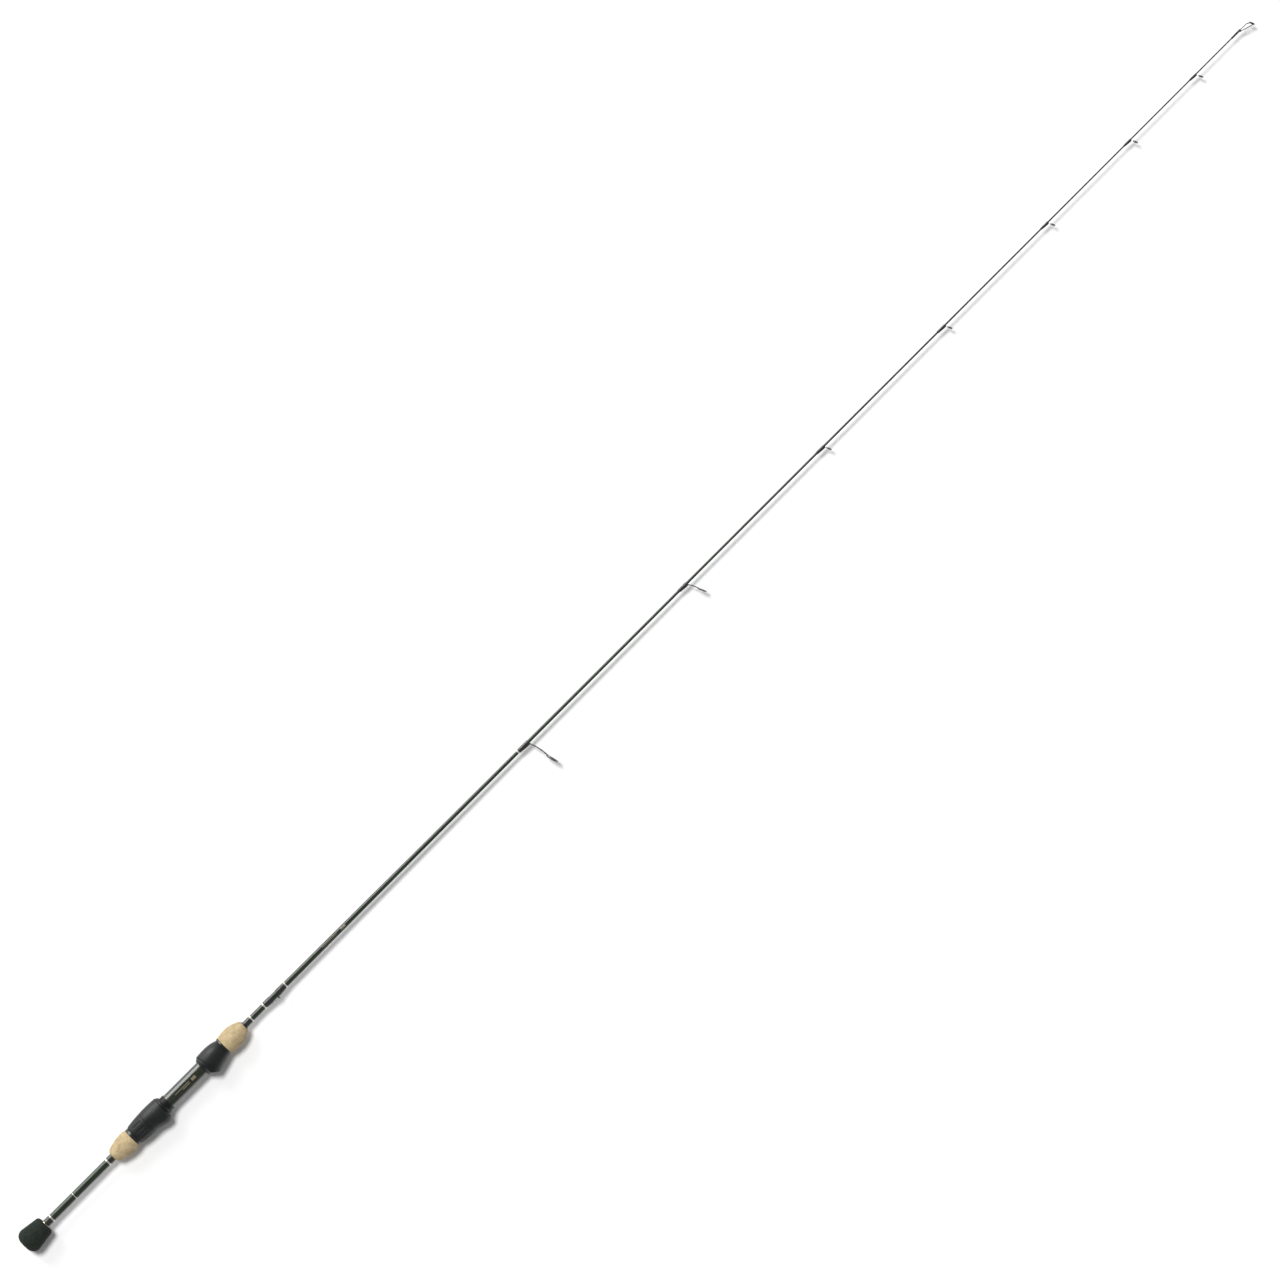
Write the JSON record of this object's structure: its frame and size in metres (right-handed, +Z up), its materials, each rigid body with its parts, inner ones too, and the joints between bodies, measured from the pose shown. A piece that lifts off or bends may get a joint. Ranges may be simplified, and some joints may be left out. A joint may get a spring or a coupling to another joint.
{
  "type": "spinning rod",
  "caption": "One-piece spinning rod with a slim tapered blank, foam butt cap, split cork grips, reel seat with a screw-down sliding hood, folding hook keeper and line guides.",
  "frame": {"origin": "centre of the butt cap's flat end, on the blank's centre line", "axes": "+X along the blank to the tip; -Y towards the reel and the line guides; +Z up, with the rod lying on its side"},
  "size_m": [1.676, 0.0474, 0.0254],
  "materials": {
    "blank_lacquer": "very dark green gloss lacquer",
    "cap_foam": "matt fine-celled foam",
    "cork": "sanded cork with small pits",
    "black_gloss": "polished black",
    "seat_gloss": "polished very dark green",
    "seat_black": "satin black moulding",
    "arbor": "plain",
    "wrap": "thread under clear coat",
    "metallic_band": "metallic thread under clear coat",
    "gold_trim": "polished",
    "guide_metal": "smoked grey polished steel",
    "guide_ring": "polished dark ceramic",
    "tip_metal": "black plated steel"
  },
  "bodies": {
    "rod": {"blank": "blank_lacquer", "butt_cap": "cap_foam", "butt_trim_ring": "gold_trim", "rear_cork_grip": "cork", "fore_cork_grip": "cork", "rear_trim_ring": "black_gloss", "front_trim_ring": "black_gloss", "winding_check": "black_gloss", "seat_tube": "seat_gloss", "rear_arbor": "arbor", "front_arbor": "arbor", "threaded_barrel": "seat_black", "fixed_hood": "seat_black", "fixed_hood_liner": "seat_black", "hook_keeper_base": "guide_metal", "tip_top_tube": "tip_metal", "tip_top_frame": "tip_metal", "tip_top_ring": "guide_ring", "keeper_rear_wrap": "wrap", "keeper_front_wrap": "wrap", "butt_wrap": "wrap", "rear_grip_wrap": "wrap", "fore_grip_wrap": "wrap", "tip_wrap": "wrap", "butt_band": "metallic_band", "rear_grip_band": "metallic_band", "fore_grip_band": "metallic_band", "keeper_rear_band": "metallic_band", "keeper_front_band": "metallic_band", "guide_1_band": "metallic_band", "butt_stripe": "metallic_band", "guide_1_frame": "guide_metal", "guide_1_ring": "guide_ring", "guide_1_wrap": "wrap", "guide_2_frame": "guide_metal", "guide_2_ring": "guide_ring", "guide_2_wrap": "wrap", "guide_3_frame": "guide_metal", "guide_3_ring": "guide_ring", "guide_3_wrap": "wrap", "guide_4_frame": "guide_metal", "guide_4_ring": "guide_ring", "guide_4_wrap": "wrap", "guide_5_frame": "guide_metal", "guide_5_ring": "guide_ring", "guide_5_wrap": "wrap", "guide_6_frame": "guide_metal", "guide_6_ring": "guide_ring", "guide_6_wrap": "wrap", "guide_7_frame": "guide_metal", "guide_7_ring": "guide_ring", "guide_7_wrap": "wrap"},
    "moving_hood": {"moving_hood": "seat_black", "moving_hood_liner": "seat_black"},
    "lock_nut": {"lock_nut": "seat_black"},
    "keeper_loop": {"hook_keeper_loop": "guide_metal"}
  },
  "joints": [
    {"name": "nut_spin", "type": "hinge", "parent": "moving_hood", "child": "lock_nut", "pos_m": [0.1597, 0, 0], "axis": [1, 0, 0], "range_deg": [0, 3240]},
    {"name": "hood_slide", "type": "slide", "parent": "rod", "child": "moving_hood", "axis": [1, 0, 0], "range_m": [0, 0.01801]},
    {"name": "keeper_swing", "type": "hinge", "parent": "rod", "child": "keeper_loop", "pos_m": [0.3439, -0.00459, 0], "axis": [0, 0, 1], "range_deg": [0, 150]}
  ],
  "couplings": [
    {"joint": "hood_slide", "follows": "nut_spin", "m_per_rad": 0.00031831}
  ]
}
